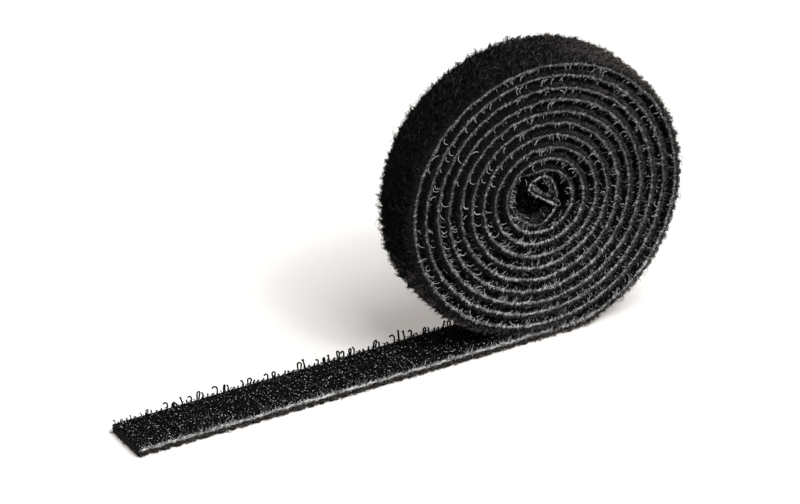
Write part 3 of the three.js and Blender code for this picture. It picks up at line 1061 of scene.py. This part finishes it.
# %% Weft threads that lie on top
def weft_threads(seed):
    random = np.random.default_rng(seed)
    along = np.arange(2.0, AT_FOOT - 3, FAMILY_PITCH / 2)
    along = along[random.uniform(size=len(along)) < 0.75]
    count = len(along)
    t = np.linspace(0, 1, 24)
    start = random.uniform(-3.4, 1.5, count)
    spot_across = start[:, None] * (1 - t) - (HALF_WIDTH - 0.05) * t
    wave = rolling(spot_across / 0.7, np.arange(count)[:, None] * 3, 93)
    slant = random.normal(0.0, 0.5, count)[:, None] * (t - 1)
    lift = -0.85 + 0.1 * rolling(spot_across / 0.5, np.arange(count)[:, None] * 5, 94) + 0.6 * t**12
    paths = place(along[:, None] + 0.12 * wave + slant, spot_across, lift)
    radii = radii_for(random, count, np.full(len(t), 0.028), 0.8, 1.3)
    square = np.tile([1.0, 0.0, 0.0], (count, 1))
    return along, paths, radii, mixed(random, count, [0.2, 0.6, 0.2]), square


grow("weft_threads", weft_threads(seed=95), FUZZ_SHADES, pointed=False)

# %% [markdown]
# ## Hooks at the edges of the wound turns
# Inside the roll the hooks are caught in the fleece of the next turn, and only the outermost rows
# can be seen. There a hook shows its side: a short stem off the film, then a curl that bends
# forward along the tape. How far each one curls is a matter of luck, so the sweep is random. On
# the left of the roll the long curls come at even steps, so there every third column has them. On
# the right they lean together in small clusters.


# %% Curls for the edge
EDGE_HOOK_RADIUS = 0.046


def curls(along, across, seed, stem, radius, turn, toward=-1, swoop=0.0):
    """Hooks seen from the side. turn is how far they bend. toward 1 stands on the fleece.

    A swooping one starts flat along the film and curls up from it, the others start upright.
    """
    random = np.random.default_rng(seed)
    count = len(along)
    t = np.linspace(0, 1, HOOK_POINTS)
    angle = turn[:, None] * np.clip((t - 0.15) / 0.85, 0, 1)
    way = np.where(random.uniform(size=count) < 0.93, 1, -1)
    lean = random.normal(-0.1, 0.2, count)
    swoops = (random.uniform(size=count) < swoop)[:, None]
    turned_up, turned_over = np.sin(angle), 1 - np.cos(angle)
    rise = radius[:, None] * np.where(swoops, turned_over, turned_up)
    rise = rise + np.where(swoops, 0, stem[:, None] * np.clip(t / 0.15, 0, 1))
    forward = (way * radius)[:, None] * np.where(swoops, turned_up, turned_over)
    forward = forward + lean[:, None] * rise
    sideways = random.normal(0, 0.14, count)[:, None] * t
    foot = GROUND_LIFT + 0.06 if toward < 0 else MAT_LIFT - 0.1
    paths = place(along[:, None] + forward, across[:, None] + sideways, foot + toward * rise)
    return paths, square_for(random, count, [0.0, 1.0, 0.0], 0.05)


def curl_patch(random, along, across, seed, limits, weights, thin, toward=-1):
    """Curls of one sort. limits has a pair to pick from for stem, radius and turn.

    thin is a share of the usual thickness, or a pair to pick it from.
    """
    count = len(along)
    stem, radius, turn = (random.uniform(*pair, count) for pair in limits)
    paths, square = curls(along, across, seed, stem, radius, turn, toward)
    share = random.uniform(*thin, (count, 1)) if isinstance(thin, tuple) else thin
    radii = np.full((count, HOOK_POINTS), EDGE_HOOK_RADIUS) * share
    return along, paths, radii, mixed(random, count, weights), square


def grow_curls(kind, strands):
    grow(kind, strands, HOOK_SHADES, sides=4, pointed=False)


# %% Plant the edges inside the roll
EDGE_ROWS = np.array([5.08, 4.5, 3.9])
OUTER_ROW = 4.8
# Pale shades are painted highlights along black hooks: the curls are mostly pale, the ticks mostly black.
CURL_SHADES, TICK_SHADES = [0.03, 0.07, 0.9], [0.56, 0.3, 0.14]
EYE_FLOOR = (AT_FOLD + 16.0, AT_FOLD + 25.0)


def edge_hooks(random, along, across, seed):
    """Most are short ticks, some are long curls. The floor of the eye gets its own hooks later."""
    count = len(along)
    on_the_left = 0.5 - 0.5 * np.sin(angle_at(along))
    third = np.round(along / HOOK_PITCH) % 3 == 0
    in_front = np.abs(across) > OUTER_ROW
    curled = random.uniform(size=count) < 0.05 + (0.25 + 0.65 * in_front) * on_the_left * third
    stem = random.uniform(0, 0.2, count)
    radius = np.where(curled, random.uniform(0.6, 0.9, count), random.uniform(0.28, 0.6, count))
    turn = np.where(curled, random.uniform(1.2, 2.1, count), random.uniform(0.3, 0.8, count))
    shade = np.where(curled, mixed(random, count, CURL_SHADES), mixed(random, count, TICK_SHADES))
    share = np.where(curled, 0.85, 0.58 - 0.15 * on_the_left)
    in_the_eye = (along > EYE_FLOOR[0]) & (along < EYE_FLOOR[1])
    kept = (random.uniform(size=count) < share) & ~in_the_eye
    paths, square = curls(along[kept], across[kept], seed, stem[kept], radius[kept], turn[kept], swoop=0.93)
    taper = EDGE_HOOK_RADIUS * (1 - 0.4 * np.linspace(0, 1, HOOK_POINTS))
    radii = radii_for(random, kept.sum(), taper, 0.85, 1.25) * np.where(curled, 1.0, 0.82)[kept, None]
    return along[kept], paths, radii, shade[kept], square


# %% Gather clusters on the right
CLUSTER_PITCH, CLUSTER_SIZE = 3.4, 4
# The grey and pale shades of the clusters are painted glints on black hooks.
CLUSTER_LIMITS, CLUSTER_SHADES = [(0.1, 0.5), (0.2, 0.5), (0.5, 1.0)], [0.25, 0.4, 0.35]


def clusters(random, side, seed):
    centres = np.arange(AT_FOOT + 3, AT_FOLD + 8, CLUSTER_PITCH)
    centres = centres + random.normal(0, 0.6, len(centres))
    centres = centres[np.sin(angle_at(centres)) > random.uniform(-0.6, 0.2, len(centres))]
    along = np.repeat(centres, CLUSTER_SIZE) + random.normal(0, 0.5, CLUSTER_SIZE * len(centres))
    across = side * random.uniform(4.85, 5.08, len(along))
    return curl_patch(random, along, across, seed, CLUSTER_LIMITS, CLUSTER_SHADES, (0.5, 0.75))


for edge, seed in [("near", 81), ("far", 82)]:
    columns = np.arange(AT_FOOT + 2, STRIP_LENGTH - 0.5, HOOK_PITCH)
    random, along, across = planted(SIDES[edge] * EDGE_ROWS, columns, seed, loose=0.25)
    grow_curls(f"hooks_{edge}", edge_hooks(random, along, across, seed + 5))
    grow_curls(f"hooks_{edge}_clusters", clusters(random, SIDES[edge], seed + 6))

# %% [markdown]
# ## Fuzz in the lower gaps
# Below the axis, short torn ends of both tapes fill the gaps between the turns. An end is kept
# only where a random number is below the cosine of its angle on the roll. The cosine is largest at
# the bottom, so the fuzz thins out upwards without a border.


# %% Fill the lower gaps
def gap_fuzz(side, count, seed):
    """Three times as many places as needed are drawn, to have enough to keep."""
    random = np.random.default_rng(seed)
    along = random.uniform(AT_FOOT + 2, AT_FOLD + 6, 3 * count)
    along = along[np.cos(angle_at(along)) > random.uniform(-0.3, 1.3, len(along))][:count]
    count = len(along)
    start_lift = -random.uniform(0.35, 1.0, count)
    length = random.uniform(0.1, 0.4, count)
    drift = random.normal(0, 0.3, count)
    start = [along, side * random.uniform(4.5, 4.98, count), start_lift]
    middle = [along + 0.4 * drift, side * random.uniform(4.8, 5.05, count), start_lift - 0.6 * length]
    end = [along + drift, side * random.uniform(4.7, 5.1, count), start_lift - length]
    radii = radii_for(random, count, [0.027, 0.024, 0.0], 0.7, 1.1)
    square = square_for(random, count, [0.0, 1.0, 0.0], 0.1)
    shade = mixed(random, count, [0.45, 0.35, 0.2])
    return along, paths_through(start, middle, end), radii, shade, square


for edge, side in SIDES.items():
    grow(f"gap_fuzz_{edge}", gap_fuzz(side, count=1500, seed=97 + (side > 0)), FUZZ_SHADES)

# %% [markdown]
# ## Inside the eye
# The winding is open in its middle, so you look onto the left wall of that eye, onto its floor and
# onto the small curl at the very end. Long pale hooks reach in from the wall, threads are caught in
# the curl, and the floor is covered with worn hooks. All three are patches of curls.


# %% Plant the wall, the curl and the floor of the eye
def plant_curls(kind, seed, count, span, side, rows, limits, weights, thin=1, toward=-1):
    random = np.random.default_rng(seed)
    along = random.uniform(*span, count)
    across = side * random.uniform(*rows, count)
    grow_curls(kind, curl_patch(random, along, across, seed + 1, limits, weights, thin, toward))


LEFT_OF_THE_EYE, WALL_REACH = 270 + 360 * 8, 60
EYE_WALL = along_at([LEFT_OF_THE_EYE - WALL_REACH, LEFT_OF_THE_EYE + WALL_REACH])
LAST_CURL = (AT_FOLD + 26, STRIP_LENGTH - 0.8)
# The pale shades of the eye hooks and the caught threads are painted highlights.
plant_curls(
    "eye_hooks", seed=84, count=20, span=EYE_WALL, side=-1, rows=(4.3, 5.12),
    limits=[(0, 0.4), (0.5, 1.1), (0.9, 1.7)], weights=[0.1, 0.3, 0.6], thin=0.65,
)
plant_curls(
    "caught_threads", seed=86, count=90, span=LAST_CURL, side=-1, rows=(3.8, 5.05), toward=1,
    limits=[(0.1, 0.9), (0.15, 0.4), (0.8, 2.4)], weights=[0.05, 0.2, 0.75], thin=0.5,
)
plant_curls(
    "eye_floor_hooks", seed=88, count=900, span=(EYE_FLOOR[0] - 2, EYE_FLOOR[1]), side=1, rows=(-4.6, 4.4),
    limits=[(0, 0.2), (0.15, 0.4), (0.8, 2.0)], weights=[0.3, 0.65, 0.05],
)

# %% [markdown]
# ## Table, backdrop and light
# The tape was photographed on white, so the floor must come out white and still hold the soft
# shadow. A diffuse floor does the shadow. A little glow that only the camera sees lifts the lit
# part to pure white, without lighting the object.

# %% The floor
FLOOR_REACH = 3000
floor_mesh = bpy.data.meshes.new("table")
corners = [(x * FLOOR_REACH * MM, y * FLOOR_REACH * MM, 0) for x, y in [(-1, -1), (1, -1), (1, 1), (-1, 1)]]
floor_mesh.from_pydata(corners, [], [(0, 1, 2, 3)])
table_top = bpy.data.objects.new("table", floor_mesh)
bpy.context.scene.collection.objects.link(table_top)

floor_material = bpy.data.materials.new("white_table")
floor_material.use_nodes = True
tree = floor_material.node_tree
tree.nodes.clear()
ray = add_node(tree, "LightPath")
matte = add_node(tree, "BsdfDiffuse", Color=(0.87, 0.88, 0.865, 1))
glow = add_node(tree, "Emission", Color=(1, 0.83, 0.74, 1), Strength=0.175)
dark = add_node(tree, "Emission", Strength=0)
only_camera = add_node(tree, "MixShader")
both = add_node(tree, "AddShader")
output = add_node(tree, "OutputMaterial")
wire(
    tree, (ray, "Is Camera Ray", only_camera, 0), (dark, 0, only_camera, 1), (glow, 0, only_camera, 2),
    (matte, 0, both, 0), (only_camera, 0, both, 1), (both, 0, output, "Surface"),
)
floor_mesh.materials.append(floor_material)
print(f"table {2 * FLOOR_REACH} mm wide")

# %% The surroundings: white to look at, softer to light with
AMBIENT = 0.11
world = bpy.data.worlds.new("studio")
bpy.context.scene.world = world
world.use_nodes = True
tree = world.node_tree
tree.nodes.clear()
ray = add_node(tree, "LightPath")
seen = add_node(tree, "Math")
seen.operation = "MAXIMUM"
soft = add_node(tree, "Background", Strength=AMBIENT)
white = add_node(tree, "Background", Color=(1, 1, 1, 1), Strength=1)
mix = add_node(tree, "MixShader")
output = add_node(tree, "OutputWorld")
wire(
    tree, (ray, "Is Camera Ray", seen, 0), (ray, "Is Glossy Ray", seen, 1), (seen, 0, mix, 0),
    (soft, 0, mix, 1), (white, 0, mix, 2), (mix, 0, output, "Surface"),
)
print(f"surroundings light the scene with {AMBIENT}")


# %% The lamps
def lamp(name, azimuth, elevation, strength, spread):
    """A far lamp. Azimuth 0 shines from the front, 90 from the right."""
    data = bpy.data.lights.new(name, "SUN")
    data.energy = strength
    data.angle = math.radians(spread)
    light = bpy.data.objects.new(name, data)
    a, e = math.radians(azimuth), math.radians(elevation)
    toward = Vector((math.sin(a) * math.cos(e), -math.cos(a) * math.cos(e), math.sin(e)))
    light.rotation_mode = "QUATERNION"
    light.rotation_quaternion = toward.to_track_quat("Z", "Y")
    bpy.context.scene.collection.objects.link(light)
    print(f"{name}: from {azimuth} degrees round and {elevation} up, strength {strength}")


lamp("key_from_above_the_front", azimuth=25, elevation=55.5, strength=2.9, spread=46)
lamp("fill_from_the_front", azimuth=20, elevation=30, strength=0.47, spread=30)
lamp("sparkle", azimuth=20, elevation=50, strength=0.4, spread=6)
lamp("soft_from_behind", azimuth=160, elevation=60, strength=0.7, spread=60)

# %% Look at colours as they are written
bpy.context.scene.view_settings.view_transform = "Standard"
